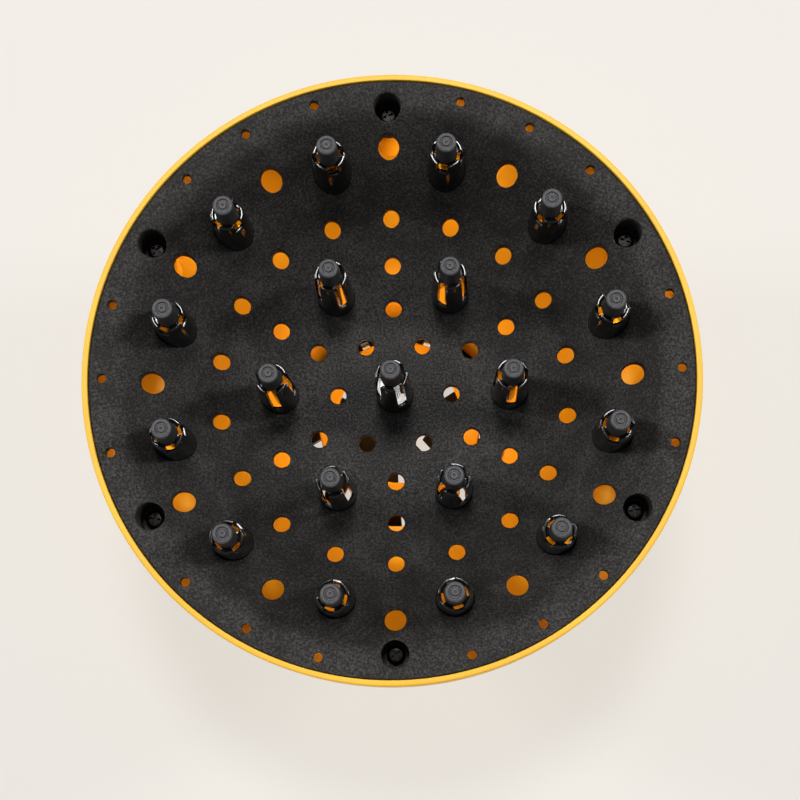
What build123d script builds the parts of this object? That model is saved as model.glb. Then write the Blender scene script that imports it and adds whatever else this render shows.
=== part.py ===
from build123d import *
from math import cos, radians, sin, tan
import os

# Bowl diffuser for a hair dryer, in millimetres.
#
# The origin is the centre of the neck's rear face and +Z is the diffuser's axis, towards the prongs.
# The part stands on its neck with its bowl facing up. Angles round the axis are counted clockwise
# from +Y, looking down into the bowl. The pieces are a yellow rear shell, a black front plate that
# six screws hold in it, nineteen slotted prongs with soft tips, and a rubber sleeve in the neck, with
# its retainer and the ring that ties the sleeve's fingers together.

# ---------------------------------------------------------------- clearances
SEAT_GAP = 0.05             # radial gap of a part that is pushed into its seat
EDGE_GAP = 0.12             # radial gap between the plate's edge and the rim lip
SCREW_GAP = 0.2             # radial gap of the screw's shank in the plate
OVER = 1.0                  # how far a cut runs past the face that it opens

# ---------------------------------------------------------------- rear shell
RIM_RADIUS = 82.5           # outer radius of the rim
RIM_HEIGHT = 110.0          # from the neck's rear face to the rim
SHELL_WALL = 2.6            # wall of the bowl, the funnel and the neck
BAND_HEIGHT = 16.0          # straight band under the rim
SHOULDER_RADIUS = 28.0      # round shoulder from the band into the funnel
FUNNEL_ANGLE = 38.0         # slope of the funnel, from the horizontal
FLARE_RADIUS = 12.0         # hollow bend from the funnel into the neck
NECK_RADIUS = 36.5          # outer radius of the neck
RIM_ROUND = 0.5             # rounding of the rim lip
NECK_ROUND = 0.8            # rounding of the neck's rear edge

# ---------------------------------------------------------------- front plate
LIP_WALL = 1.6              # yellow lip that shows round the plate
PLATE_INSET = 0.63          # how far the plate's edge lies behind the rim
PLATE_WALL = 2.0            # wall of the plate
EDGE_DEPTH = 2.5            # depth of the plate's flat-bottomed edge
EDGE_WIDTH = 1.8            # width of that edge
FLANGE_ANGLE = 11.0         # inward fall of the flange
BROW_RADIUS = 72.7          # where the flange meets the bowl's wall, before rounding
BROW_ROUND = 9.0            # rounding between flange and wall
BOWL_ANGLE = 43.4           # slope of the bowl's wall
BOWL_DEPTH = 35.6           # from the rim to the bowl's floor
BOWL_ROUND = 44.0           # hollow rounding between wall and floor

# Rings of vent holes: radius of the ring, hole radius, angles of the holes.
RIM_VENTS = (77.3, 1.25, [a for a in range(0, 360, 15) if a % 60])
OUTER_VENTS = (65.0, 2.9, range(0, 360, 30))
MIDDLE_VENTS = (48.85, 2.3, range(0, 360, 20))
INNER_VENTS = (36.9, 2.35, range(0, 360, 60))
HUB_VENTS = (24.9, 2.35, range(0, 360, 60))
CORE_VENTS = (16.1, 2.3, range(30, 390, 60))
VENT_RINGS = (RIM_VENTS, OUTER_VENTS, MIDDLE_VENTS, INNER_VENTS, HUB_VENTS, CORE_VENTS)

# ---------------------------------------------------------------- screws and their wells
SCREW_COUNT = 6
SCREW_CIRCLE = 74.1         # radius of the circle that the screws stand on
WELL_RADIUS = 3.65
WELL_WALL = 1.5
WELL_DEPTH = 12.3           # from the rim to the seat of the screw's head
WELL_FLOOR = 2.0
HEAD_RADIUS = 2.5
HEAD_HEIGHT = 2.0
HEAD_ROUND = 0.9
CROSS_LENGTH = 3.0          # cross recess in the head
CROSS_WIDTH = 0.8
CROSS_DEPTH = 1.1
SHANK_RADIUS = 1.4
SHANK_LENGTH = 10.0
SHANK_POINT = 1.2           # length of the tapered point
BOSS_RADIUS = 3.6
PILOT_EXTRA = 1.0           # pilot hole below the screw's point

# ---------------------------------------------------------------- prongs
PRONG_BASE_RADIUS = 5.2     # outer radius where the prong leaves the plate
PRONG_TOP_RADIUS = 4.5      # outer radius at the shoulder
PRONG_WALL = 1.0
PRONG_CAP = 1.6             # thickness of the floor that carries the tip
CROWN_DEPTH = 1.2           # the four wall ends stand this far above that floor
CROWN_ROUND = 0.35
STEM_RADIUS = 1.6           # stem that runs from that floor down the middle of the tube
SLOT_WIDTH = 2.6
LONG_SLOT_START = 0.2       # the slots start at this share of the height above the plate
SHORT_SLOT_START = 0.7      # the same in the outer ring, where the slots are short
FOOT_THICKNESS = 1.2        # foot flange behind the plate
SOCKET_WALL = 1.8           # wall of the socket behind the plate
SOCKET_COVER = 0.8          # least material of the socket under the plate's back

CENTRE_SHOULDER = 5.1       # the shoulders' heights, counted down from the rim
INNER_SHOULDER = 7.0
OUTER_SHOULDER = -3.0
INNER_RING = 32.5
OUTER_RING = 61.3
INNER_COUNT = 6
OUTER_COUNT = 12
CENTRE_TURN = 60.0          # direction of the centre prong's first slot

# ---------------------------------------------------------------- tips
TIP_RISE = 8.7              # the tip's top above the shoulder
TIP_BASE_RADIUS = 2.85
TIP_TOP_RADIUS = 2.7
TIP_ROUND = 0.8
PEG_RADIUS = 1.4            # peg of the prong inside the tip
PEG_HEIGHT = 5.0
PEG_TOP_GAP = 0.2
DIMPLE_RADIUS = 1.35        # ring dimple in the tip's top
DIMPLE_WIDTH = 0.5
DIMPLE_DEPTH = 0.3
GATE_RADIUS = 0.3           # small mark in the middle of the top
GATE_DEPTH = 0.25

# ---------------------------------------------------------------- sleeve and retainer in the neck
SLEEVE_LEDGE = 10.0         # height of the neck's inner ledge
LEDGE_WIDTH = 1.6
LEDGE_HEIGHT = 4.8          # full height of the ledge, with its sloped upper side
RETAINER_HEIGHT = 3.0
RETAINER_RADIUS = 30.5      # inner radius of the retainer
RETAINER_LEAD = 1.0         # lead-in chamfer for the nozzle
SLEEVE_WALL = 1.6           # wall of the sleeve's ring, fingers and petals
FINGER_COUNT = 9
FINGER_GAP = 2.6            # gap between two fingers
FINGER_TURN = 18.0          # direction of the first gap
FINGER_ROOT = 6.2           # height at which the fingers leave the ring
GRIP_RADIUS = 23.4          # inner radius of the fingers' lands
GRIP_LOW = 19.2             # heights of the lands' lower end, and of their upper end under the petals
GRIP_HIGH = 24.4
PETAL_RADIUS = 9.0          # radius of the open middle between the petals' ends
WEB_ROOT = 1.5              # the gaps stop this far inside the sleeve's ring
TIE_INNER = 19.3            # ring that lies on the fingers' ends
TIE_OUTER = 24.9
TIE_HEIGHT = 2.4
TIE_ROUND = 0.6


def place(radius, azimuth):
    """Point at a radius and a clockwise angle from +Y."""
    return radius * sin(radians(azimuth)), radius * cos(radians(azimuth))


def bar(radius, low, high, at=(0, 0)):
    """Upright cylinder between two heights."""
    return Pos(at[0], at[1], low) * Cylinder(radius, high - low, align=(Align.CENTER, Align.CENTER, Align.MIN))


def turned(*lines):
    """Solid of revolution about Z; the closed outline is drawn as (radius, height)."""
    return revolve(Plane.XZ * make_face(Curve() + list(lines)), Axis.Z)


def turned_polygon(*points):
    """Solid of revolution about Z of a polygon of (radius, height) points."""
    return turned(Polyline(*points, close=True))


# ---------------------------------------------------------------- outlines
def shell_outline(depth):
    """Outline of the rear shell, from the rim to the neck's rear face, that lies depth inside the outer face."""
    slope = radians(FUNNEL_ANGLE)
    band_low = RIM_HEIGHT - BAND_HEIGHT
    shoulder = SHOULDER_RADIUS - depth
    flare = FLARE_RADIUS + depth
    shoulder_r = RIM_RADIUS - SHOULDER_RADIUS
    flare_r = NECK_RADIUS + FLARE_RADIUS
    top = (RIM_RADIUS - depth, band_low)
    funnel_top = (shoulder_r + shoulder * sin(slope), band_low - shoulder * cos(slope))
    # The funnel is tangent to both bends, so the flare's centre follows from its line.
    funnel_low_r = flare_r - flare * sin(slope)
    funnel_low_z = funnel_top[1] - tan(slope) * (funnel_top[0] - funnel_low_r)
    neck_top = (NECK_RADIUS - depth, funnel_low_z - flare * cos(slope))
    shoulder_mid = (
        shoulder_r + shoulder * cos(radians(45 - FUNNEL_ANGLE / 2)),
        band_low - shoulder * sin(radians(45 - FUNNEL_ANGLE / 2)),
    )
    flare_mid = (
        flare_r - flare * cos(radians(45 - FUNNEL_ANGLE / 2)),
        neck_top[1] + flare * sin(radians(45 - FUNNEL_ANGLE / 2)),
    )
    return [
        Line((RIM_RADIUS - depth, RIM_HEIGHT), top),
        ThreePointArc(top, shoulder_mid, funnel_top),
        Line(funnel_top, (funnel_low_r, funnel_low_z)),
        ThreePointArc((funnel_low_r, funnel_low_z), flare_mid, neck_top),
        Line(neck_top, (NECK_RADIUS - depth, 0)),
    ]


def shell_fill(depth):
    """Solid that fills the shell's outline at a depth."""
    inside = RIM_RADIUS - depth
    neck = NECK_RADIUS - depth
    closing = [Line((neck, 0), (0, 0)), Line((0, 0), (0, RIM_HEIGHT)), Line((0, RIM_HEIGHT), (inside, RIM_HEIGHT))]
    return turned(*shell_outline(depth), *closing)


PLATE_RADIUS = RIM_RADIUS - LIP_WALL - EDGE_GAP
EDGE_TOP = RIM_HEIGHT - PLATE_INSET
FLOOR_TOP = RIM_HEIGHT - BOWL_DEPTH


def plate_corners(depth):
    """Corners of the plate's outline, from the axis outwards, depth behind its front face."""
    wall = radians(BOWL_ANGLE)
    flange = radians(FLANGE_ANGLE)
    brow_z = EDGE_TOP - (PLATE_RADIUS - BROW_RADIUS) * tan(flange)
    foot_r = BROW_RADIUS - (brow_z - FLOOR_TOP) / tan(wall)
    # A corner of two lines moves along the sum of their normals when both lines are offset.
    lean = 1 + cos(wall - flange)
    brow_shift = (depth * (sin(wall) + sin(flange)) / lean, -depth * (cos(wall) + cos(flange)) / lean)
    return [
        (0, FLOOR_TOP - depth),
        (foot_r + depth * tan(wall / 2), FLOOR_TOP - depth),
        (BROW_RADIUS + brow_shift[0], brow_z + brow_shift[1]),
        (PLATE_RADIUS, EDGE_TOP - depth / cos(flange)),
    ]


def plate_line(depth):
    """Rounded outline of the plate, depth behind its front face."""
    return FilletPolyline(*plate_corners(depth), radius=[BOWL_ROUND + depth, BROW_ROUND - depth])


def plate_fill(low):
    """Everything below the plate's front face, down to a height."""
    return turned(
        plate_line(0),
        Line((PLATE_RADIUS, EDGE_TOP), (PLATE_RADIUS, low)),
        Line((PLATE_RADIUS, low), (0, low)),
        Line((0, low), (0, FLOOR_TOP)),
    )


def plate_height(radius, depth):
    """Height at a radius of the surface that lies depth behind the plate's front face."""
    if radius <= 0:
        return FLOOR_TOP - depth
    probe = Line((radius, 0), (radius, RIM_HEIGHT + OVER))
    return plate_line(depth).intersect(probe).vertices()[0].Y


# ---------------------------------------------------------------- prong places
class ProngPlace:
    """Where one prong stands and how high it reaches."""

    def __init__(self, name, radius, azimuth, shoulder, turn, slot_start):
        self.name = name
        self.slot_start = slot_start
        self.at = place(radius, azimuth)
        self.turn = turn
        self.plate_z = plate_height(radius, 0)
        self.shoulder_z = RIM_HEIGHT - shoulder
        # The plate's back is lowest at the socket's inner side, and the socket ends just under it.
        self.seat_z = plate_height(radius - SOCKET_RADIUS, PLATE_WALL) - SOCKET_COVER


SOCKET_RADIUS = PRONG_BASE_RADIUS + SEAT_GAP + SOCKET_WALL


def prong_places():
    """Places of the centre prong and of the two rings."""
    places = [ProngPlace("centre", 0, 0, CENTRE_SHOULDER, CENTRE_TURN, LONG_SLOT_START)]
    for index in range(INNER_COUNT):
        azimuth = (index + 0.5) * 360 / INNER_COUNT
        places.append(ProngPlace(f"inner_{index + 1}", INNER_RING, azimuth, INNER_SHOULDER, azimuth, LONG_SLOT_START))
    for index in range(OUTER_COUNT):
        azimuth = (index + 0.5) * 360 / OUTER_COUNT
        places.append(ProngPlace(f"outer_{index + 1}", OUTER_RING, azimuth, OUTER_SHOULDER, azimuth, SHORT_SLOT_START))
    return places


# ---------------------------------------------------------------- pieces
def screw_places():
    """Centres of the screws."""
    return [place(SCREW_CIRCLE, index * 360 / SCREW_COUNT) for index in range(SCREW_COUNT)]


HEAD_SEAT = RIM_HEIGHT - WELL_DEPTH
BOSS_TOP = HEAD_SEAT - WELL_FLOOR
LEDGE_TOP = EDGE_TOP - EDGE_DEPTH


def rear_shell():
    """Bowl, funnel and neck in one moulding, with a rebate for the plate and six screw bosses."""
    outside = shell_fill(0)
    shell = outside - shell_fill(SHELL_WALL)
    shell += turned_polygon(
        (NECK_RADIUS - SHELL_WALL - LEDGE_WIDTH, SLEEVE_LEDGE),
        (NECK_RADIUS - SHELL_WALL / 2, SLEEVE_LEDGE),
        (NECK_RADIUS - SHELL_WALL / 2, SLEEVE_LEDGE + LEDGE_HEIGHT),
        (NECK_RADIUS - SHELL_WALL, SLEEVE_LEDGE + LEDGE_HEIGHT),
        (NECK_RADIUS - SHELL_WALL - LEDGE_WIDTH, SLEEVE_LEDGE + LEDGE_WIDTH),
    )
    shell -= bar(RIM_RADIUS - LIP_WALL, LEDGE_TOP, RIM_HEIGHT + OVER)
    for at in screw_places():
        boss = bar(BOSS_RADIUS, BOSS_TOP - BAND_HEIGHT - SHOULDER_RADIUS, BOSS_TOP, at) & outside
        pilot_low = HEAD_SEAT - SHANK_LENGTH - PILOT_EXTRA
        shell += boss
        shell -= bar(SHANK_RADIUS + SEAT_GAP, pilot_low, BOSS_TOP + OVER, at)
    rim = shell.edges().filter_by(GeomType.CIRCLE).filter_by(lambda e: abs(e.center().Z - RIM_HEIGHT) < 1e-3)
    shell = fillet(rim, RIM_ROUND)
    rear = shell.edges().filter_by(GeomType.CIRCLE).filter_by(
        lambda e: abs(e.center().Z) < 1e-3 and abs(e.radius - NECK_RADIUS) < 1e-3
    )
    return fillet(rear, NECK_ROUND)


def front_plate(prongs):
    """Perforated bowl with screw wells and prong sockets behind it."""
    low = min(prong.seat_z for prong in prongs)
    fill = plate_fill(low)
    back = turned(
        plate_line(PLATE_WALL),
        Line(plate_corners(PLATE_WALL)[-1], (PLATE_RADIUS, low - OVER)),
        Line((PLATE_RADIUS, low - OVER), (0, low - OVER)),
        Line((0, low - OVER), (0, FLOOR_TOP - PLATE_WALL)),
    )
    plate = fill - back
    edge = bar(PLATE_RADIUS, LEDGE_TOP, RIM_HEIGHT) - bar(PLATE_RADIUS - EDGE_WIDTH, LEDGE_TOP - OVER, RIM_HEIGHT + OVER)
    plate += edge & fill
    for prong in prongs:
        plate += bar(SOCKET_RADIUS, prong.seat_z, RIM_HEIGHT, prong.at) & fill
    for at in screw_places():
        plate += bar(WELL_RADIUS + WELL_WALL, BOSS_TOP, RIM_HEIGHT, at) & fill
    for prong in prongs:
        plate -= bar(PRONG_BASE_RADIUS + SEAT_GAP, low - OVER, RIM_HEIGHT + OVER, prong.at)
    for at in screw_places():
        plate -= bar(WELL_RADIUS, HEAD_SEAT, RIM_HEIGHT + OVER, at)
        plate -= bar(SHANK_RADIUS + SCREW_GAP, BOSS_TOP - OVER, HEAD_SEAT + OVER, at)
    for ring, radius, azimuths in VENT_RINGS:
        for azimuth in azimuths:
            plate -= bar(radius, low - OVER, RIM_HEIGHT + OVER, place(ring, azimuth))
    return plate


def prong(spot):
    """Slotted tube with a foot behind the plate, a stem inside it and a peg for its tip."""
    foot_low = spot.seat_z - FOOT_THICKNESS
    cap_top = spot.shoulder_z - CROWN_DEPTH
    body = turned_polygon(
        (0, foot_low),
        (SOCKET_RADIUS, foot_low),
        (SOCKET_RADIUS, spot.seat_z),
        (PRONG_BASE_RADIUS, spot.seat_z),
        (PRONG_BASE_RADIUS, spot.plate_z),
        (PRONG_TOP_RADIUS, spot.shoulder_z),
        (0, spot.shoulder_z),
    )
    body -= bar(PRONG_TOP_RADIUS - PRONG_WALL, cap_top, spot.shoulder_z + OVER)
    crown = body.edges().filter_by(GeomType.CIRCLE).filter_by(lambda e: abs(e.center().Z - spot.shoulder_z) < 1e-3)
    body = fillet(crown, CROWN_ROUND)
    body -= turned_polygon(
        (0, foot_low - OVER),
        (PRONG_BASE_RADIUS - PRONG_WALL, foot_low - OVER),
        (PRONG_BASE_RADIUS - PRONG_WALL, spot.plate_z),
        (PRONG_TOP_RADIUS - PRONG_WALL, cap_top - PRONG_CAP),
        (0, cap_top - PRONG_CAP),
    )
    slot_low = spot.plate_z + spot.slot_start * (spot.shoulder_z - spot.plate_z)
    slot_high = spot.shoulder_z + OVER
    slot_in = TIP_BASE_RADIUS + SEAT_GAP
    slot = Pos(0, slot_in, slot_low) * Box(
        SLOT_WIDTH, PRONG_BASE_RADIUS, slot_high - slot_low, align=(Align.CENTER, Align.MIN, Align.MIN)
    )
    for quarter in range(4):
        body -= Rot(0, 0, -(spot.turn + 90 * quarter)) * slot
    body += bar(STEM_RADIUS, foot_low, cap_top - PRONG_CAP / 2)
    body += bar(PEG_RADIUS, cap_top - PRONG_CAP / 2, cap_top + PEG_HEIGHT)
    return Pos(spot.at[0], spot.at[1], 0) * body


def tip(spot):
    """Soft round-ended cap that is pushed on the prong's peg."""
    low = spot.shoulder_z - CROWN_DEPTH
    high = spot.shoulder_z + TIP_RISE
    cap = turned_polygon((0, low), (TIP_BASE_RADIUS, low), (TIP_TOP_RADIUS, high), (0, high))
    top_edge = cap.edges().filter_by(GeomType.CIRCLE).sort_by(Axis.Z)[-1]
    cap = fillet(top_edge, TIP_ROUND)
    cap -= bar(DIMPLE_RADIUS + DIMPLE_WIDTH / 2, high - DIMPLE_DEPTH, high + OVER) - bar(
        DIMPLE_RADIUS - DIMPLE_WIDTH / 2, high - DIMPLE_DEPTH - OVER, high + OVER
    )
    cap -= bar(GATE_RADIUS, high - GATE_DEPTH, high + OVER)
    cap -= bar(PEG_RADIUS + SEAT_GAP, low - OVER, low + PEG_HEIGHT + PEG_TOP_GAP)
    return Pos(spot.at[0], spot.at[1], 0) * cap


def screw(at):
    """Pan-head self-tapping screw with a cross recess; the thread is left plain."""
    top = HEAD_SEAT + HEAD_HEIGHT
    point = HEAD_SEAT - SHANK_LENGTH
    body = bar(HEAD_RADIUS, HEAD_SEAT, top)
    body = fillet(body.edges().filter_by(GeomType.CIRCLE).sort_by(Axis.Z)[-1], HEAD_ROUND)
    body += turned_polygon(
        (0, point), (SHANK_RADIUS / 3, point), (SHANK_RADIUS, point + SHANK_POINT), (SHANK_RADIUS, HEAD_SEAT + OVER),
        (0, HEAD_SEAT + OVER),
    )
    for size in ((CROSS_LENGTH, CROSS_WIDTH), (CROSS_WIDTH, CROSS_LENGTH)):
        body -= Pos(0, 0, top - CROSS_DEPTH) * Box(*size, CROSS_DEPTH + OVER, align=(Align.CENTER, Align.CENTER, Align.MIN))
    return Pos(at[0], at[1], 0) * body


SLEEVE_RADIUS = NECK_RADIUS - SHELL_WALL - SEAT_GAP


def grip_sleeve():
    """Rubber ring with nine fingers that rise inwards to short lands and end in thin petals."""
    low = RETAINER_HEIGHT
    high = GRIP_HIGH + SLEEVE_WALL
    inside = SLEEVE_RADIUS - SLEEVE_WALL
    back = GRIP_RADIUS + SLEEVE_WALL
    # The fingers' outer face runs from the ring to the lands' back; their inner face is parallel to it.
    rise = (GRIP_LOW + SLEEVE_WALL / 4 - FINGER_ROOT) / (inside - back)
    foot = GRIP_RADIUS + (GRIP_LOW - low) / rise
    sleeve = turned_polygon(
        (foot, low),
        (SLEEVE_RADIUS, low),
        (SLEEVE_RADIUS, SLEEVE_LEDGE),
        (inside, SLEEVE_LEDGE),
        (inside, FINGER_ROOT),
        (back, GRIP_LOW + SLEEVE_WALL / 4),
        (back, high),
        (PETAL_RADIUS, high),
        (PETAL_RADIUS, GRIP_HIGH),
        (GRIP_RADIUS, GRIP_HIGH),
        (GRIP_RADIUS, GRIP_LOW),
    )
    gap = Pos(0, 0, low - OVER) * Box(
        FINGER_GAP, inside - WEB_ROOT, high - low + 2 * OVER, align=(Align.CENTER, Align.MIN, Align.MIN)
    )
    for index in range(FINGER_COUNT):
        sleeve -= Rot(0, 0, -(FINGER_TURN + index * 360 / FINGER_COUNT)) * gap
    return sleeve


def finger_ring():
    """Rounded ring that lies on the fingers' ends and keeps them in line."""
    low = GRIP_HIGH + SLEEVE_WALL + SEAT_GAP
    ring = bar(TIE_OUTER, low, low + TIE_HEIGHT) - bar(TIE_INNER, low - OVER, low + TIE_HEIGHT + OVER)
    return fillet(ring.edges().filter_by(GeomType.CIRCLE), TIE_ROUND)


def sleeve_retainer():
    """Ring in the neck's mouth that keeps the sleeve against the ledge."""
    return turned_polygon(
        (RETAINER_RADIUS + RETAINER_LEAD, 0),
        (SLEEVE_RADIUS, 0),
        (SLEEVE_RADIUS, RETAINER_HEIGHT),
        (RETAINER_RADIUS, RETAINER_HEIGHT),
        (RETAINER_RADIUS, RETAINER_LEAD),
    )


def pieces():
    """Every piece of the diffuser by its node name."""
    prongs = prong_places()
    made = {"rear_shell": rear_shell(), "front_plate": front_plate(prongs)}
    for spot in prongs:
        made[f"prong_{spot.name}"] = prong(spot)
        made[f"tip_{spot.name}"] = tip(spot)
    for index, at in enumerate(screw_places()):
        made[f"screw_{index + 1}"] = screw(at)
    made["grip_sleeve"] = grip_sleeve()
    made["finger_ring"] = finger_ring()
    made["sleeve_retainer"] = sleeve_retainer()
    return made


os.makedirs("parts", exist_ok=True)
for node, shape in pieces().items():
    export_step(shape, os.path.join("parts", node + ".step"))
    print(f"{node}: {len(shape.solids())} solid, {shape.volume / 1000:.2f} cm3")
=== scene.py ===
"""Looks of a bowl diffuser for a hair dryer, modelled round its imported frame.

+Z is the diffuser's axis, towards the prongs, and the diffuser stands on its neck. Angles round the
axis are counted clockwise from +Y, looking down into the bowl. Blender's lengths are metres; a size
whose name ends in _mm is in millimetres and goes through mm().
"""

from __future__ import annotations

import logging
import math
from bisect import bisect_right
from contextlib import contextmanager
from dataclasses import dataclass
from enum import Enum
from typing import Callable, Iterator, Sequence

import bpy
from mathutils import Matrix, Vector


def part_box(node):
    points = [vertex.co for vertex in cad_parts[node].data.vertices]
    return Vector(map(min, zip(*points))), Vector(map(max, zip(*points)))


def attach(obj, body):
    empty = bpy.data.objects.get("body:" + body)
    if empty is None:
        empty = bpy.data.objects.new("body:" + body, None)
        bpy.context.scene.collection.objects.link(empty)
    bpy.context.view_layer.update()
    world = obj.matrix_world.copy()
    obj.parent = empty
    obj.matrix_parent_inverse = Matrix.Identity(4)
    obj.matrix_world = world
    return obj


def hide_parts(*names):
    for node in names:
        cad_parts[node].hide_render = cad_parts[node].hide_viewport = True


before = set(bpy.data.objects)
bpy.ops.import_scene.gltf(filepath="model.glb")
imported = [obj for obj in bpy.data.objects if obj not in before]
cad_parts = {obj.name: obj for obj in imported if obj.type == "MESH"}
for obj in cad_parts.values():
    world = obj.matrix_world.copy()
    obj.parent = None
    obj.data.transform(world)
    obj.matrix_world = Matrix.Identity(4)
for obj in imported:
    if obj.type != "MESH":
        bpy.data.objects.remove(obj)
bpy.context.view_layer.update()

log = logging.getLogger("diffuser")

Point = tuple[float, float]
Height = Callable[[float], float]
Corner = tuple[float, float, float]
FULL_TURN = 2 * math.pi
WELD = 1e-6  # vertices nearer than this are one


# ---------------------------------------------------------------- measures and places
def mm(value: float) -> float:
    """Millimetres to metres."""
    return value / 1000


def around(radius: float, azimuth: float) -> Vector:
    """Finds a point by its radius and clockwise azimuth.

    Args:
        radius: Distance from the axis.
        azimuth: Degrees clockwise from +Y.

    Returns:
        The point, at height 0.
    """
    turn = math.radians(azimuth)
    return Vector((radius * math.sin(turn), radius * math.cos(turn), 0))


def rounded(corners: Sequence[Corner], step_deg: float) -> list[Point]:
    """Rounds the corners of an outline.

    Args:
        corners: Each corner as radius from the axis, height and rounding radius.
        step_deg: The angle that one chord of a rounding spans.

    Returns:
        The outline's points, roundings drawn as chords.
    """
    points: list[Point] = []
    for index, (x, z, radius) in enumerate(corners):
        inner = 0 < index < len(corners) - 1
        if not (radius and inner):
            points.append((x, z))
            continue
        here = Vector((x, z))
        back = (Vector(corners[index - 1][:2]) - here).normalized()
        ahead = (Vector(corners[index + 1][:2]) - here).normalized()
        half = back.angle(ahead) / 2
        reach = radius / math.tan(half)
        centre = here + (back + ahead).normalized() * (radius / math.sin(half))
        start = here + back * reach - centre
        end = here + ahead * reach - centre
        sweep = start.angle_signed(end)
        steps = max(2, round(abs(math.degrees(sweep)) / step_deg))
        for step in range(steps + 1):
            turn = -sweep * step / steps
            arm = Vector(
                (
                    start.x * math.cos(turn) - start.y * math.sin(turn),
                    start.x * math.sin(turn) + start.y * math.cos(turn),
                )
            )
            points.append(tuple(centre + arm))
    return points


def divided(points: Sequence[Point], longest: float) -> list[Point]:
    """Adds points on an outline's long stretches.

    Args:
        points: The outline.
        longest: The longest stretch that stays whole.

    Returns:
        The outline with its long stretches divided evenly.
    """
    result = [points[0]]
    for start, end in zip(points, points[1:]):
        parts = max(1, math.ceil(math.dist(start, end) / longest))
        for part in range(1, parts + 1):
            share = part / parts
            x = start[0] + (end[0] - start[0]) * share
            z = start[1] + (end[1] - start[1]) * share
            result.append((x, z))
    return result


def height_on(points: Sequence[Point]) -> Height:
    """Makes a function that gives an outline's height at a radius.

    Args:
        points: The outline, whose radius only rises or only falls.

    Returns:
        The function. Outside the outline it gives the height of the nearer end.
    """
    ordered = sorted(points)
    radii = [point[0] for point in ordered]
    heights = [point[1] for point in ordered]

    def height(radius: float) -> float:
        """Gives the outline's height at a radius."""
        if radius <= radii[0]:
            return heights[0]
        if radius >= radii[-1]:
            return heights[-1]
        index = bisect_right(radii, radius)
        share = (radius - radii[index - 1]) / (radii[index] - radii[index - 1])
        return heights[index - 1] + share * (heights[index] - heights[index - 1])

    return height


def level(height: float) -> Height:
    """Makes a function that gives the same height everywhere."""
    return lambda radius: height


# ---------------------------------------------------------------- modelling
def deselect() -> None:
    """Deselects every object."""
    bpy.ops.object.select_all(action="DESELECT")


def pick(*pieces: bpy.types.Object) -> None:
    """Selects only these objects and makes the first one active."""
    deselect()
    for piece in pieces:
        piece.select_set(True)
    bpy.context.view_layer.objects.active = pieces[0]


@contextmanager
def editing(piece: bpy.types.Object) -> Iterator[None]:
    """Holds an object in edit mode with all of it selected."""
    pick(piece)
    bpy.ops.object.mode_set(mode="EDIT")
    bpy.ops.mesh.select_all(action="SELECT")
    yield
    bpy.ops.object.mode_set(mode="OBJECT")


def mend(piece: bpy.types.Object) -> None:
    """Welds an object's doubles and turns its faces outwards."""
    with editing(piece):
        bpy.ops.mesh.remove_doubles(threshold=WELD)
        bpy.ops.mesh.normals_make_consistent(inside=False)


def lathe(name: str, outline: Sequence[Point], steps: int) -> bpy.types.Object:
    """Turns an outline round the Z axis.

    Args:
        name: The new object's name.
        outline: Points as radius and height. It closes on itself, or starts and ends on the axis.
        steps: The number of stations round the axis.

    Returns:
        The closed solid of revolution.
    """
    deselect()
    bpy.ops.mesh.primitive_plane_add(size=mm(1))
    piece = bpy.context.object
    piece.name = piece.data.name = name
    with editing(piece):
        bpy.ops.mesh.merge(type="CENTER")
        bpy.ops.transform.translate(value=(outline[0][0], 0, outline[0][1]))
        for start, end in zip(outline, outline[1:]):
            move = (end[0] - start[0], 0, end[1] - start[1])
            bpy.ops.mesh.extrude_vertices_move(TRANSFORM_OT_translate={"value": move})
        bpy.ops.mesh.select_all(action="SELECT")
        bpy.ops.mesh.spin(steps=steps, angle=FULL_TURN, center=(0, 0, 0), axis=(0, 0, 1))
    mend(piece)
    return piece


def plug(
    name: str,
    radius: float,
    at: Vector,
    low: Height,
    high: Height,
    flare: float = 0.0,
    lift: float = 0.0,
    steps: int = 32,
) -> bpy.types.Object:
    """Models an upright plug whose ends follow surfaces of revolution round the diffuser's axis.

    Args:
        name: The new object's name.
        radius: The plug's radius.
        at: Where the plug stands.
        low: Height of its lower end at each radius from the diffuser's axis.
        high: Height of its upper end.
        flare: Radius of a hollow rounding that widens the plug towards its upper end.
        lift: How far the plug goes on above that height.
        steps: The number of its sides.

    Returns:
        The closed plug.
    """
    turns = [math.radians(angle) for angle in (0, 30, 60, 90)] if flare else [0.0]
    mouth = [(radius + flare * (1 - math.cos(t)), 1 - flare + flare * math.sin(t)) for t in turns]
    wide = mouth[-1][0]
    top = [(wide, 1 + lift)] if lift else []
    # Heights near 0 belong to the lower end and heights near 1 to the upper end.
    piece = lathe(name, [(0, 0), (radius, 0), *mouth, *top, (0, 1 + lift)], steps)
    for vertex in piece.data.vertices:
        vertex.co.x += at.x
        vertex.co.y += at.y
        reach = math.hypot(vertex.co.x, vertex.co.y)
        upper = vertex.co.z > 0.5
        vertex.co.z += high(reach) - 1 if upper else low(reach)
    return piece


def apply_modifier(piece: bpy.types.Object, kind: str, **settings: object) -> None:
    """Adds a modifier to an object and applies it.

    Args:
        piece: The object.
        kind: The modifier's type.
        settings: The modifier's properties.
    """
    modifier = piece.modifiers.new(kind.title(), kind)
    for key, value in settings.items():
        setattr(modifier, key, value)
    pick(piece)
    bpy.ops.object.modifier_apply(modifier=modifier.name)


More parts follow.
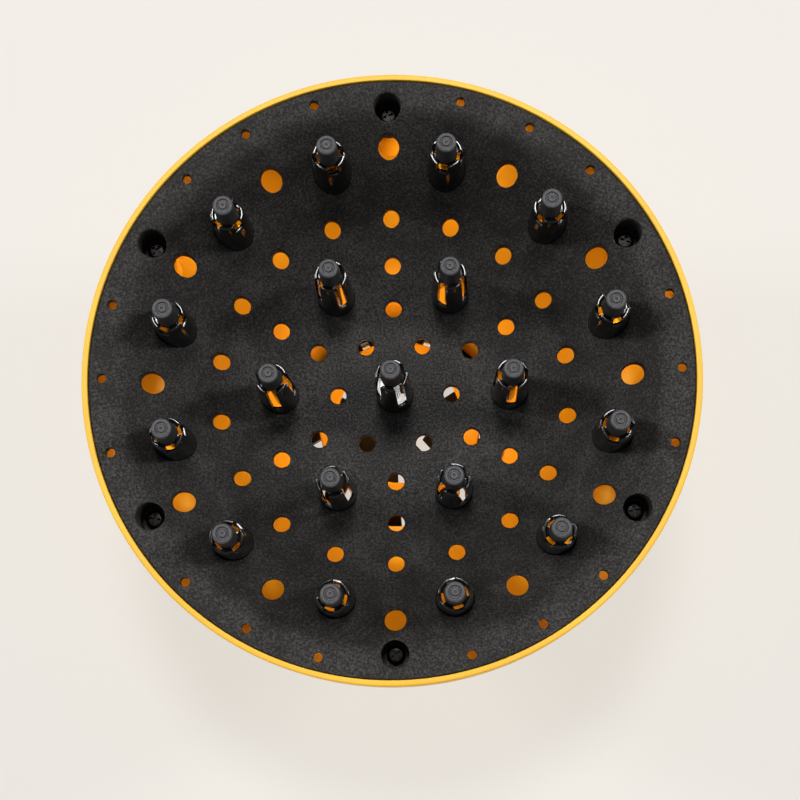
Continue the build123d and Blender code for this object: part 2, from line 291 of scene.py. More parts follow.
def combine(piece: bpy.types.Object, tools: Sequence[bpy.types.Object], operation: str) -> None:
    """Adds tools to an object, cuts them from it or keeps what they share.

    Args:
        piece: The object that stays.
        tools: Closed objects that don't meet each other. They are used up.
        operation: UNION, DIFFERENCE or INTERSECT.
    """
    tool = joined(tools)
    apply_modifier(piece, "BOOLEAN", operation=operation, solver="EXACT", object=tool)
    bpy.data.objects.remove(tool)


def joined(pieces: Sequence[bpy.types.Object]) -> bpy.types.Object:
    """Joins objects into the first of them."""
    pick(*pieces)
    if len(pieces) > 1:
        bpy.ops.object.join()
    return bpy.context.view_layer.objects.active


def copy_to(source: bpy.types.Object, name: str, place: Matrix) -> bpy.types.Object:
    """Copies an object with its own mesh and moves the copy's mesh.

    Args:
        source: The object to copy.
        name: The copy's name.
        place: The move, applied to the mesh so that the copy's own origin stays at the frame's.

    Returns:
        The copy.
    """
    pick(source)
    bpy.ops.object.duplicate(linked=False)
    piece = bpy.context.object
    piece.name = piece.data.name = name
    piece.matrix_world = place
    bpy.ops.object.transform_apply(location=True, rotation=True, scale=True)
    return piece


def block(name: str, middle: tuple[float, float, float], size: tuple[float, float, float]) -> bpy.types.Object:
    """Adds an upright block, which only serves to cut others.

    Args:
        name: The block's name.
        middle: Its middle.
        size: Its lengths along X, Y and Z.

    Returns:
        The block.
    """
    deselect()
    bpy.ops.mesh.primitive_cube_add(size=1, location=middle, scale=size)
    piece = bpy.context.object
    piece.name = piece.data.name = name
    bpy.ops.object.transform_apply(location=True, rotation=True, scale=True)
    return piece


def smooth(piece: bpy.types.Object, angle_deg: float) -> None:
    """Shades an object smooth, but not across edges sharper than an angle."""
    pick(piece)
    bpy.ops.object.shade_smooth_by_angle(angle=math.radians(angle_deg))


def dress(piece: bpy.types.Object, slot: "Slot", material: bpy.types.Material, *nodes: str) -> None:
    """Gives a piece its finish and its place in the frame.

    Args:
        piece: A finished piece.
        slot: The record's material slot; not used.
        material: The finish.
        nodes: The CAD nodes that the piece stands for.
    """
    piece.data.materials.clear()
    piece.data.materials.append(material)
    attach(piece, "root")
    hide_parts(*nodes)
    log.info("%s: %d faces", piece.name, len(piece.data.polygons))


# ---------------------------------------------------------------- finishes
class Slot(Enum):
    """The record's material slots."""

    SHELL = "shell_yellow"
    PLATE = "plate_black"
    PRONG = "prong_gloss"
    TIP = "tip_soft"
    SCREW = "screw_steel"
    SLEEVE = "sleeve_rubber"


def linear(code: str) -> tuple[float, float, float, float]:
    """Turns an sRGB hex colour into linear RGBA."""
    channels = [int(code[i : i + 2], 16) / 255 for i in (1, 3, 5)]
    values = [c / 12.92 if c <= 0.04045 else ((c + 0.055) / 1.055) ** 2.4 for c in channels]
    return (*values, 1.0)


def add_node(
    tree: bpy.types.NodeTree,
    kind: str,
    settings: dict[str, object] | None = None,
    inputs: dict[str | int, object] | None = None,
    stops: Sequence[tuple[float, str]] = (),
) -> bpy.types.Node:
    """Adds a node with its settings and links.

    Args:
        tree: The node tree.
        kind: The node's type.
        settings: Properties of the node.
        inputs: For each input, a socket to link from or a value to set.
        stops: Positions and hex colours of a colour ramp's stops.

    Returns:
        The node.
    """
    node = tree.nodes.new(kind)
    for key, value in (settings or {}).items():
        setattr(node, key, value)
    for key, value in (inputs or {}).items():
        if isinstance(value, bpy.types.NodeSocket):
            tree.links.new(value, node.inputs[key])
        else:
            node.inputs[key].default_value = value
    if stops:
        elements = node.color_ramp.elements
        while len(elements) < len(stops):
            elements.new(1.0)
        for element, (position, code) in zip(elements, stops):
            element.position = position
            element.color = linear(code)
    return node


Shader = tuple[bpy.types.Material, bpy.types.NodeTree, bpy.types.Node, bpy.types.NodeSocket]


def shader(name: str, **sockets: object) -> Shader:
    """Starts a material with one principled shader.

    Args:
        name: The material's name.
        sockets: The shader's constants, with underscores for spaces.

    Returns:
        The material, its tree, its shader and the object coordinates.
    """
    material = bpy.data.materials.new(name)
    material.use_nodes = True
    tree = material.node_tree
    body = tree.nodes["Principled BSDF"]
    for key, value in sockets.items():
        body.inputs[key.replace("_", " ")].default_value = value
    coordinates = add_node(tree, "ShaderNodeTexCoord").outputs["Object"]
    return material, tree, body, coordinates


def per_metre(size_mm: float) -> float:
    """Texture scale at which one cell of a pattern measures size_mm."""
    return 1000 / size_mm


@dataclass(frozen=True)
class SparkErodedAbs:
    """ABS moulded in a spark-eroded tool: a matte black skin of fine pits whose rims sparkle."""

    dark: str = "#151312"
    light: str = "#474441"
    grain_mm: float = 0.6  # such a skin's grain is taken to be near 0.15 mm; drawn coarser so that it shows
    cloud_mm: float = 9.0
    cloud_share: float = 0.25
    pit_depth_mm: float = 0.05

    def material(self) -> bpy.types.Material:
        """Builds the material."""
        material, tree, body, where = shader("spark_eroded_black_abs", IOR=1.53, Specular_IOR_Level=0.3)
        grain = add_node(
            tree,
            "ShaderNodeTexNoise",
            inputs={"Vector": where, "Scale": per_metre(self.grain_mm), "Detail": 3.0, "Roughness": 0.6},
        ).outputs["Fac"]
        cloud = add_node(
            tree, "ShaderNodeTexNoise", inputs={"Vector": where, "Scale": per_metre(self.cloud_mm), "Detail": 2.0}
        ).outputs["Fac"]
        mixed = add_node(
            tree, "ShaderNodeMix", {"data_type": "FLOAT"}, {"Factor": self.cloud_share, "A": grain, "B": cloud}
        ).outputs["Result"]
        colour = add_node(
            tree, "ShaderNodeValToRGB", inputs={"Fac": mixed}, stops=((0.46, self.dark), (0.72, self.light))
        )
        tree.links.new(colour.outputs["Color"], body.inputs["Base Color"])
        rough = add_node(
            tree,
            "ShaderNodeMapRange",
            inputs={"Value": grain, "From Min": 0.35, "From Max": 0.7, "To Min": 0.75, "To Max": 0.52},
        )
        tree.links.new(rough.outputs["Result"], body.inputs["Roughness"])
        bump = add_node(
            tree, "ShaderNodeBump", inputs={"Height": grain, "Distance": mm(self.pit_depth_mm), "Strength": 1.0}
        )
        tree.links.new(bump.outputs["Normal"], body.inputs["Normal"])
        return material


@dataclass(frozen=True)
class PolishedAbs:
    """Black ABS from a polished tool: a deep gloss with the slight waviness of a moulded skin."""

    dark: str = "#0b0a0a"
    light: str = "#141212"
    wave_mm: float = 3.0
    wave_depth_mm: float = 0.02

    def material(self) -> bpy.types.Material:
        """Builds the material."""
        material, tree, body, where = shader("polished_black_abs", IOR=1.53)
        wave = add_node(
            tree, "ShaderNodeTexNoise", inputs={"Vector": where, "Scale": per_metre(self.wave_mm), "Detail": 2.0}
        ).outputs["Fac"]
        colour = add_node(
            tree, "ShaderNodeValToRGB", inputs={"Fac": wave}, stops=((0.3, self.dark), (0.7, self.light))
        )
        tree.links.new(colour.outputs["Color"], body.inputs["Base Color"])
        rough = add_node(tree, "ShaderNodeMapRange", inputs={"Value": wave, "To Min": 0.1, "To Max": 0.24})
        tree.links.new(rough.outputs["Result"], body.inputs["Roughness"])
        bump = add_node(
            tree, "ShaderNodeBump", inputs={"Height": wave, "Distance": mm(self.wave_depth_mm), "Strength": 1.0}
        )
        tree.links.new(bump.outputs["Normal"], body.inputs["Normal"])
        return material


@dataclass(frozen=True)
class SoftTipTpe:
    """Thermoplastic rubber, moulded: a dry dark grey with fine flow marks; the end is painted lighter and the sides
    darker, as painted light from above and painted shade.
    """

    # Side colours are painted shade and end colours painted light, two lit versions of one grey rubber.
    shaded_side_dark: str = "#19191a"
    shaded_side_light: str = "#313133"
    lit_end_dark: str = "#363637"
    lit_end_light: str = "#626265"
    grain_mm: float = 0.3
    grain_depth_mm: float = 0.03

    def material(self) -> bpy.types.Material:
        """Builds the material."""
        material, tree, body, where = shader("soft_grey_tpe", IOR=1.5, Roughness=0.62)
        grain = add_node(
            tree, "ShaderNodeTexNoise", inputs={"Vector": where, "Scale": per_metre(self.grain_mm), "Detail": 3.0}
        ).outputs["Fac"]
        shaded_side, end = (
            add_node(tree, "ShaderNodeValToRGB", inputs={"Fac": grain}, stops=((0.3, dark), (0.7, light)))
            for dark, light in ((self.shaded_side_dark, self.shaded_side_light), (self.lit_end_dark, self.lit_end_light))
        )
        # Painted light: faces that point up take the lighter end colours and the sides the darker ones, standing in
        # for light from above and shade on the sides.
        facing = add_node(tree, "ShaderNodeNewGeometry").outputs["Normal"]
        upward = add_node(tree, "ShaderNodeSeparateXYZ", inputs={"Vector": facing}).outputs["Z"]
        painted_top_light = add_node(tree, "ShaderNodeMapRange", inputs={"Value": upward, "From Min": 0.2, "From Max": 0.95})
        # The mix node's sockets share their names, so its colours go by number.
        colours = {0: painted_top_light.outputs["Result"], 6: shaded_side.outputs["Color"], 7: end.outputs["Color"]}
        mixed = add_node(tree, "ShaderNodeMix", {"data_type": "RGBA"}, colours)
        tree.links.new(mixed.outputs[2], body.inputs["Base Color"])
        bump = add_node(
            tree, "ShaderNodeBump", inputs={"Height": grain, "Distance": mm(self.grain_depth_mm), "Strength": 1.0}
        )
        tree.links.new(bump.outputs["Normal"], body.inputs["Normal"])
        return material


@dataclass(frozen=True)
class YellowAbs:
    """Yellow ABS, moulded in a fine satin tool: warm, with a soft gloss."""

    colour: str = "#f9c42f"
    shade: str = "#f5ba26"
    cloud_mm: float = 25.0
    skin_mm: float = 0.8
    skin_depth_mm: float = 0.01

    def material(self) -> bpy.types.Material:
        """Builds the material."""
        material, tree, body, where = shader("satin_yellow_abs", IOR=1.53)
        cloud = add_node(
            tree, "ShaderNodeTexNoise", inputs={"Vector": where, "Scale": per_metre(self.cloud_mm), "Detail": 3.0}
        ).outputs["Fac"]
        colour = add_node(
            tree, "ShaderNodeValToRGB", inputs={"Fac": cloud}, stops=((0.3, self.shade), (0.7, self.colour))
        )
        tree.links.new(colour.outputs["Color"], body.inputs["Base Color"])
        skin = add_node(
            tree, "ShaderNodeTexNoise", inputs={"Vector": where, "Scale": per_metre(self.skin_mm), "Detail": 2.0}
        ).outputs["Fac"]
        rough = add_node(tree, "ShaderNodeMapRange", inputs={"Value": skin, "To Min": 0.4, "To Max": 0.52})
        tree.links.new(rough.outputs["Result"], body.inputs["Roughness"])
        bump = add_node(
            tree, "ShaderNodeBump", inputs={"Height": skin, "Distance": mm(self.skin_depth_mm), "Strength": 1.0}
        )
        tree.links.new(bump.outputs["Normal"], body.inputs["Normal"])
        return material


@dataclass(frozen=True)
class BlackenedSteel:
    """Black-oxide steel: dark metal with a soft, slightly uneven sheen."""

    colour: str = "#1d1b1a"
    grain_mm: float = 0.5

    def material(self) -> bpy.types.Material:
        """Builds the material."""
        material, tree, body, where = shader("black_oxide_steel", Metallic=1.0, Base_Color=linear(self.colour))
        grain = add_node(
            tree, "ShaderNodeTexNoise", inputs={"Vector": where, "Scale": per_metre(self.grain_mm), "Detail": 3.0}
        ).outputs["Fac"]
        rough = add_node(tree, "ShaderNodeMapRange", inputs={"Value": grain, "To Min": 0.25, "To Max": 0.5})
        tree.links.new(rough.outputs["Result"], body.inputs["Roughness"])
        return material


@dataclass(frozen=True)
class SleeveRubber:
    """Black silicone rubber, moulded: soft, dull, with a dusty bloom."""

    dark: str = "#121213"
    light: str = "#1f1f20"
    bloom_mm: float = 6.0

    def material(self) -> bpy.types.Material:
        """Builds the material."""
        material, tree, body, where = shader("black_silicone", IOR=1.42, Roughness=0.66)
        bloom = add_node(
            tree, "ShaderNodeTexNoise", inputs={"Vector": where, "Scale": per_metre(self.bloom_mm), "Detail": 4.0}
        ).outputs["Fac"]
        colour = add_node(
            tree, "ShaderNodeValToRGB", inputs={"Fac": bloom}, stops=((0.3, self.dark), (0.7, self.light))
        )
        tree.links.new(colour.outputs["Color"], body.inputs["Base Color"])
        return material


# ---------------------------------------------------------------- studio
@dataclass(frozen=True)
class BoxLight:
    """A round soft light that faces the rim's centre. Lengths are metres."""

    name: str
    place: tuple[float, float, float]
    size: float
    watts: float

    def build(self, target: Vector) -> None:
        """Adds the light.

        Args:
            target: The point it faces.
        """
        place = Vector(self.place)
        deselect()
        bpy.ops.object.light_add(type="AREA", location=place)
        light = bpy.context.object
        light.name = self.name
        light.data.shape = "DISK"
        light.data.size = self.size
        light.data.energy = self.watts
        light.rotation_euler = (target - place).to_track_quat("-Z", "Y").to_euler()


@dataclass
class Studio:
    """Floor, lights and camera."""

    floor_colour: str = "#898886"
    floor_glow: str = "#ccc8c2"
    floor_size: float = 14.0
    room_strength: float = 0.8
    room: tuple[tuple[float, str], ...] = (  # by height over the horizon
        (0.0, "#dcdcda"), (0.12, "#dcdcda"), (0.3, "#a4a4a4"), (0.6, "#acacac"), (1.0, "#8c8c8c"),
    )
    boxes: tuple[BoxLight, ...] = (
        BoxLight("left_box", (-1.7, 0.5, 1.4), 0.45, 17),
        BoxLight("right_box", (1.7, 0.5, 1.4), 0.45, 17),
        BoxLight("top_box", (0.0, 0.75, 2.6), 0.5, 30),
        BoxLight("neck_glow", (0.0, 0.0, mm(0.6)), mm(56), 0.012),
    )
    glow_colour: tuple[float, float, float] = (1.0, 0.6, 0.25)
    glow_soft_mm: float = 6.0
    hub_glow_mm: float = 66.0
    hub_watts: float = 0.05
    ring_radius_mm: float = 62.0
    ring_height_mm: float = 80.0
    ring_watts: float = 0.007
    ring_extra_watts: float = 0.005  # more at +Y, less at -Y
    camera_lens_mm: float = 83.35
    camera_place_mm: tuple[float, float, float] = (14.5, -90.5, 482.4)  # from the rim's centre
    pitch_deg: float = -9.72
    yaw_deg: float = -1.59
    roll_deg: float = 0.85

    def build(self, rim_height: float) -> None:
        """Sets up the studio.

        Args:
            rim_height: The height of the diffuser's rim.
        """
        self.add_camera(rim_height)
        self.add_floor()
        self.add_room()
        for box in self.boxes:
            box.build(Vector((0, 0, rim_height)))
        self.add_shell_glow()

    def add_camera(self, rim_height: float) -> None:
        """Adds the camera, which looks down into the bowl."""
        deselect()
        bpy.ops.object.camera_add()
        camera = bpy.context.object
        camera.name = "camera"
        turn = (
            Matrix.Rotation(math.radians(self.pitch_deg), 4, "X")
            @ Matrix.Rotation(math.radians(self.yaw_deg), 4, "Y")
            @ Matrix.Rotation(math.radians(self.roll_deg), 4, "Z")
        )
        place = Vector([mm(v) for v in self.camera_place_mm]) + Vector((0, 0, rim_height))
        camera.matrix_world = Matrix.Translation(place) @ turn.inverted()
        camera.data.lens = self.camera_lens_mm
        camera.data.sensor_width = 36
        camera.data.clip_start = 0.01
        bpy.context.scene.camera = camera

    def add_floor(self) -> None:
        """Adds a plain floor under the neck, partly lit from behind like a light table."""
        deselect()
        bpy.ops.mesh.primitive_circle_add(vertices=96, radius=self.floor_size / 2, fill_type="NGON")
        floor = bpy.context.object
        floor.name = "floor"
        material, _, _, _ = shader(
            "floor_paper",
            Roughness=0.9,
            Base_Color=linear(self.floor_colour),
            Specular_IOR_Level=0.0,
            Emission_Color=linear(self.floor_glow),
            Emission_Strength=1.0,
        )
        floor.data.materials.append(material)

    def add_room(self) -> None:
        """Lights the room, brightest at the horizon and below it."""
        world = bpy.context.scene.world or bpy.data.worlds.new("room")
        bpy.context.scene.world = world
        world.use_nodes = True
        tree = world.node_tree
        background = tree.nodes["Background"]
        direction = add_node(tree, "ShaderNodeTexCoord").outputs["Generated"]
        height = add_node(tree, "ShaderNodeSeparateXYZ", inputs={"Vector": direction}).outputs["Z"]
        colour = add_node(tree, "ShaderNodeValToRGB", inputs={"Fac": height}, stops=self.room).outputs["Color"]
        tree.links.new(colour, background.inputs["Color"])
        background.inputs["Strength"].default_value = self.room_strength

    def add_shell_glow(self) -> None:
        """Adds the lights that fill the space behind the plate, as daylight does through the yellow shell."""
        places = [(Vector((0, 0, mm(self.hub_glow_mm))), self.hub_watts)]
        radius = mm(self.ring_radius_mm)
        for azimuth in range(15, 375, 60):
            turn = math.radians(azimuth)
            place = Vector((radius * math.cos(turn), radius * math.sin(turn), mm(self.ring_height_mm)))
            places.append((place, self.ring_watts + self.ring_extra_watts * math.sin(turn)))
        for place, watts in places:
            deselect()
            bpy.ops.object.light_add(type="POINT", location=place)
            light = bpy.context.object
            light.name = "shell_glow"
            light.data.shadow_soft_size = mm(self.glow_soft_mm)
            light.data.energy = watts
            light.data.color = self.glow_colour
            light.visible_camera = False
            light.visible_glossy = False


# ---------------------------------------------------------------- pieces
@dataclass
class RearShell:
    """Yellow bowl, funnel and neck in one moulding."""

    finish: bpy.types.Material
    wall_mm: float = 2.6
    band_mm: float = 16.0
    shoulder_mm: float = 28.0
    funnel_deg: float = 38.0
    flare_mm: float = 12.0
    lip_mm: float = 1.6
    seat_drop_mm: float = 3.13
    rim_round_mm: float = 0.55
    neck_round_mm: float = 0.8
    neck_radius_mm: float = 36.5
    ledge_height_mm: float = 10.0
    ledge_width_mm: float = 1.6
    boss_radius_mm: float = 3.6
    chord_deg: float = 4.5
    stations: int = 240

    def outline(self, depth: float, rim: Vector) -> list[Corner]:
        """Lists the corners of the shell's face at a depth inside the outer one.

        Args:
            depth: Distance inside the outer face.
            rim: The rim's outer radius and height.

        Returns:
            Corners from the rim down to the neck's rear face, with their roundings.
        """
        slope = math.radians(self.funnel_deg)
        shoulder = mm(self.shoulder_mm)
        wall_x = rim.x - depth
        neck_x = mm(self.neck_radius_mm) - depth
        # The funnel's line touches the outer shoulder here.
        touch_x = rim.x - shoulder + shoulder * math.sin(slope)
        touch_z = rim.y - mm(self.band_mm) - shoulder * math.cos(slope)
        lift = depth / math.cos(slope)
        top_z = touch_z + math.tan(slope) * (wall_x - touch_x) + lift
        low_z = touch_z + math.tan(slope) * (neck_x - touch_x) + lift
        return [
            (wall_x, rim.y, 0),
            (wall_x, top_z, shoulder - depth),
            (neck_x, low_z, mm(self.flare_mm) + depth),
            (neck_x, 0, 0),
        ]

    def build(self) -> None:
        """Models the shell and its screw bosses."""
        _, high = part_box("rear_shell")
        rim = Vector((high.x, high.z))
        wall = mm(self.wall_mm)
        outside = self.outline(0, rim)
        inside = self.outline(wall, rim)
        rim_round = mm(self.rim_round_mm)
        lip_x = rim.x - mm(self.lip_mm)
        seat_z = rim.y - mm(self.seat_drop_mm)
        bore_x = mm(self.neck_radius_mm) - wall
        ledge_z = mm(self.ledge_height_mm)
        step = mm(self.ledge_width_mm)
        middle = ((rim.x + lip_x) / 2, rim.y, 0)
        corners = [
            middle,
            (rim.x, rim.y, rim_round),
            outside[1],
            outside[2],
            (outside[3][0], 0, mm(self.neck_round_mm)),
            (bore_x, 0, mm(0.2)),
            (bore_x, ledge_z, mm(0.2)),
            (bore_x - step, ledge_z, mm(0.3)),
            (bore_x - step, ledge_z + step, mm(0.5)),
            (bore_x, ledge_z + 3 * step, 0),
            inside[2],
            inside[1],
            (inside[0][0], seat_z, mm(0.2)),
            (lip_x, seat_z, mm(0.15)),
            (lip_x, rim.y, rim_round / 2),
            middle,
        ]
        shell = lathe("yellow_shell", divided(rounded(corners, self.chord_deg), mm(5)), self.stations)
        skin = height_on(rounded(self.outline(wall / 2, rim), self.chord_deg)[1:-1])
        bosses = []
        for screw in SCREWS:
            low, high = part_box(screw)
            at = (low + high) / 2
            top = level(high.z - mm(SCREW_HEAD_MM + WELL_FLOOR_MM))
            bosses.append(plug("boss", mm(self.boss_radius_mm), at, skin, top))
        combine(shell, bosses, "UNION")
        smooth(shell, 30)
        dress(shell, Slot.SHELL, self.finish, "rear_shell")


@dataclass
class FrontPlate:
    """Perforated black bowl with screw wells and prong sockets."""

    finish: bpy.types.Material
    inset_mm: float = 0.63
    wall_mm: float = 2.0
    edge_depth_mm: float = 2.5
    edge_width_mm: float = 1.8
    edge_round_mm: float = 0.35
    flange_deg: float = 11.0
    brow_radius_mm: float = 72.7
    brow_round_mm: float = 9.0
    bowl_deg: float = 43.4
    bowl_depth_mm: float = 35.6
    bowl_round_mm: float = 44.0
    well_radius_mm: float = 3.65
    well_wall_mm: float = 1.5
    prong_radius_mm: float = 5.25
    socket_radius_mm: float = 7.05
    foot_mm: float = 1.2
    well_round_mm: float = 0.45
    socket_round_mm: float = 0.1
    vents_from_mm: float = 60.0  # height below the whole plate, where the vents' cuts start
    over_mm: float = 1.0  # how far a cut runs past the face that it opens
    face_chord_deg: float = 2.0
    stations: int = 240

    def face(self, rim_z: float, edge_x: float) -> list[Point]:
        """Lists the points of the front face from the axis outwards."""
        return rounded(self.corners(0, rim_z, edge_x), self.face_chord_deg)

    def corners(self, depth: float, rim_z: float, edge_x: float) -> list[Corner]:
        """Lists the corners of the plate's face at a depth behind its front.

        Args:
            depth: Distance behind the front face.
            rim_z: The rim's height.
            edge_x: The plate's outer radius.

        Returns:
            Corners from the axis outwards, with their roundings.
        """
        flange = math.radians(self.flange_deg)
        wall = math.radians(self.bowl_deg)
        edge_z = rim_z - mm(self.inset_mm)
        floor_z = rim_z - mm(self.bowl_depth_mm)
        brow_x = mm(self.brow_radius_mm)
        brow_z = edge_z - (edge_x - brow_x) * math.tan(flange)
        foot_x = brow_x - (brow_z - floor_z) / math.tan(wall)
        # A corner of two lines moves along the sum of their normals when both lines are offset.
        lean = 1 + math.cos(wall - flange)
        return [
            (0, floor_z - depth, 0),
            (foot_x + depth * math.tan(wall / 2), floor_z - depth, mm(self.bowl_round_mm) + depth),
            (
                brow_x + depth * (math.sin(wall) + math.sin(flange)) / lean,
                brow_z - depth * (math.cos(wall) + math.cos(flange)) / lean,
                mm(self.brow_round_mm) - depth,
            ),
            (edge_x, edge_z - depth / math.cos(flange), 0),
        ]

    def build(self) -> None:
        """Models the plate with its wells, sockets and vents."""
        rim_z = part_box("rear_shell")[1].z
        edge_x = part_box("front_plate")[1].x
        depth = mm(self.wall_mm)
        front = self.face(rim_z, edge_x)
        back = rounded(self.corners(depth, rim_z, edge_x), 4.0)
        under_z = front[-1][1] - mm(self.edge_depth_mm)
        inner_x = edge_x - mm(self.edge_width_mm)
        edge_corners = [
            (*front[-2], 0),
            (*front[-1], mm(self.edge_round_mm)),
            (edge_x, under_z, mm(0.2)),
            (inner_x, under_z, 0),
        ]
        edge = rounded(edge_corners, 20)
        lower = [point for point in back if point[0] < inner_x - mm(0.5)]
        lower.append((inner_x, height_on(back)(inner_x)))
        outline = divided(front[:-1], mm(1.6)) + edge[1:] + divided(lower[::-1], mm(6))
        plate = lathe("black_plate", outline, self.stations)
        surface = height_on(front)

        def buried(radius: float) -> float:
            """Gives the height of the middle of the plate's wall."""
            return surface(radius) - depth / 2

        blocks: list[bpy.types.Object] = []
        cuts: list[bpy.types.Object] = []
        over = mm(self.over_mm)
        for screw in SCREWS:
            low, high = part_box(screw)
            at = (low + high) / 2
            seat = high.z - mm(SCREW_HEAD_MM)
            radius = mm(self.well_radius_mm)
            blocks.append(plug("well", radius + mm(self.well_wall_mm), at, level(seat - mm(WELL_FLOOR_MM)), buried))
            cuts.append(plug("cut", radius, at, level(seat), surface, mm(self.well_round_mm), over, 48))
        for prong in PRONGS:
            low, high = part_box("prong_" + prong)
            at = (low + high) / 2
            seat = low.z + mm(self.foot_mm)
            radius = mm(self.prong_radius_mm)
            blocks.append(plug("socket", mm(self.socket_radius_mm), at, level(seat), buried))
            cuts.append(plug("cut", radius, at, level(seat - over), surface, mm(self.socket_round_mm), over, 48))
        below = level(mm(self.vents_from_mm))
        for ring in VENTS:
            radius, flare = mm(ring.hole_mm), mm(ring.round_mm)
            for azimuth in ring.azimuths:
                at = around(mm(ring.ring_mm), azimuth)
                cuts.append(plug("cut", radius, at, below, surface, flare, over, ring.sides))
        combine(plate, blocks, "UNION")
        combine(plate, cuts, "DIFFERENCE")
        smooth(plate, 30)
        dress(plate, Slot.PLATE, self.finish, "front_plate")


@dataclass
class Prongs:
    """Slotted tubes in three heights, each with a floor near its top that carries the tip."""

    finish: bpy.types.Material
    base_mm: float = 5.2
    top_mm: float = 4.5
    wall_mm: float = 1.0
    cap_mm: float = 1.6
    crown_mm: float = 1.2
    crown_round_mm: float = 0.35
    foot_mm: float = 1.2
    socket_radius_mm: float = 7.05
    slot_mm: float = 2.6
    long_slot_start: float = 0.2
    short_slot_start: float = 0.7
    slot_reach_mm: float = 2.9
    stem_mm: float = 1.6
    centre_turn_deg: float = 60.0
    stations: int = 56

    def build(self) -> None:
        """Models one prong of each height and copies it to its places."""
        plate = FrontPlate(self.finish)
        rim_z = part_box("rear_shell")[1].z
        edge_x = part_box("front_plate")[1].x
        surface = height_on(plate.face(rim_z, edge_x))
        models: dict[str, bpy.types.Object] = {}
        for prong in PRONGS:
            kind = prong.split("_")[0]
            low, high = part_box("prong_" + prong)
            at = (low + high) / 2
            azimuth = math.degrees(math.atan2(at.x, at.y)) if kind != "centre" else self.centre_turn_deg
            if kind not in models:
                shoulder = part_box("tip_" + prong)[0].z + mm(self.crown_mm)
                start = self.short_slot_start if kind == "outer" else self.long_slot_start
                models[kind] = self.model(low.z, surface(math.hypot(at.x, at.y)), shoulder, start)
            place = Matrix.Translation((at.x, at.y, 0)) @ Matrix.Rotation(-math.radians(azimuth), 4, "Z")
            piece = copy_to(models[kind], "prong_of_" + prong, place)
            smooth(piece, 40)
            dress(piece, Slot.PRONG, self.finish, "prong_" + prong)
        for model in models.values():
            bpy.data.objects.remove(model)

    def model(self, foot_z: float, plate_z: float, shoulder_z: float, slot_start: float) -> bpy.types.Object:
        """Models a prong on the axis.

        Args:
            foot_z: Height of the foot's underside.
            plate_z: Height of the plate's face at the prong.
            shoulder_z: Height of the crown.
            slot_start: Share of the prong's height above the plate at which the slots start.

        Returns:
            The prong.
        """
        base, top, wall = mm(self.base_mm), mm(self.top_mm), mm(self.wall_mm)
        cap_z = shoulder_z - mm(self.crown_mm)
        under_z = cap_z - mm(self.cap_mm)
        seat_z = foot_z + mm(self.foot_mm)
        edge = mm(self.crown_round_mm)
        stem = mm(self.stem_mm)
        corners = [
            (0, foot_z, 0),
            (stem, foot_z, mm(0.2)),
            (stem, under_z, mm(0.3)),
            (top - wall, under_z, 0),
            (base - wall, plate_z, 0),
            (base - wall, foot_z, 0),
            (mm(self.socket_radius_mm), foot_z, mm(0.2)),
            (mm(self.socket_radius_mm), seat_z, 0),
            (base, seat_z, 0),
            (base, plate_z, 0),
            (top, shoulder_z, edge),
            (top - wall, shoulder_z, edge),
            (top - wall, cap_z, mm(0.2)),
            (0, cap_z, 0),
        ]
        body = lathe("prong", divided(rounded(corners, 22), mm(6)), self.stations)
        slot_low = plate_z + slot_start * (shoulder_z - plate_z)
        slot_high = shoulder_z + mm(1)
        middle = (0, mm(self.slot_reach_mm) + base / 2, (slot_low + slot_high) / 2)
        slot = block("slot", middle, (mm(self.slot_mm), base, slot_high - slot_low))
        slots = [copy_to(slot, "slot", Matrix.Rotation(math.radians(90 * quarter), 4, "Z")) for quarter in range(4)]
        bpy.data.objects.remove(slot)
        combine(body, slots, "DIFFERENCE")
        apply_modifier(body, "BEVEL", width=mm(0.13), segments=2, limit_method="ANGLE", angle_limit=math.radians(50))
        return body


@dataclass
class Tips:
    """Soft round-ended tips with a ring dimple and a gate mark."""

    finish: bpy.types.Material
    base_mm: float = 2.85
    top_mm: float = 2.7
    rise_mm: float = 9.9
    round_mm: float = 0.8
    dimple_mm: float = 1.35
    dimple_width_mm: float = 0.65
    dimple_depth_mm: float = 0.5
    gate_mm: float = 0.35
    stations: int = 48

    def build(self) -> None:
        """Models one tip and copies it to every prong."""
        top = mm(self.rise_mm)
        outer = mm(self.dimple_mm + self.dimple_width_mm / 2)
        inner = mm(self.dimple_mm - self.dimple_width_mm / 2)
        deep = top - mm(self.dimple_depth_mm)
        gate = mm(self.gate_mm)
        corners = [
            (0, 0, 0),
            (mm(self.base_mm), 0, mm(0.15)),
            (mm(self.top_mm), top, mm(self.round_mm)),
            (outer + mm(0.08), top, mm(0.1)),
            (outer - mm(0.08), deep, mm(0.1)),
            (inner + mm(0.08), deep, mm(0.1)),
            (inner - mm(0.08), top, mm(0.1)),
            (gate + mm(0.05), top, mm(0.06)),
            (gate, top - gate, mm(0.06)),
            (0, top - gate, 0),
        ]
        model = lathe("tip", rounded(corners, 18), self.stations)
        for prong in PRONGS:
            low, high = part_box("tip_" + prong)
            at = (low + high) / 2
            piece = copy_to(model, "tip_of_" + prong, Matrix.Translation((at.x, at.y, low.z)))
            smooth(piece, 50)
            dress(piece, Slot.TIP, self.finish, "tip_" + prong)
        bpy.data.objects.remove(model)


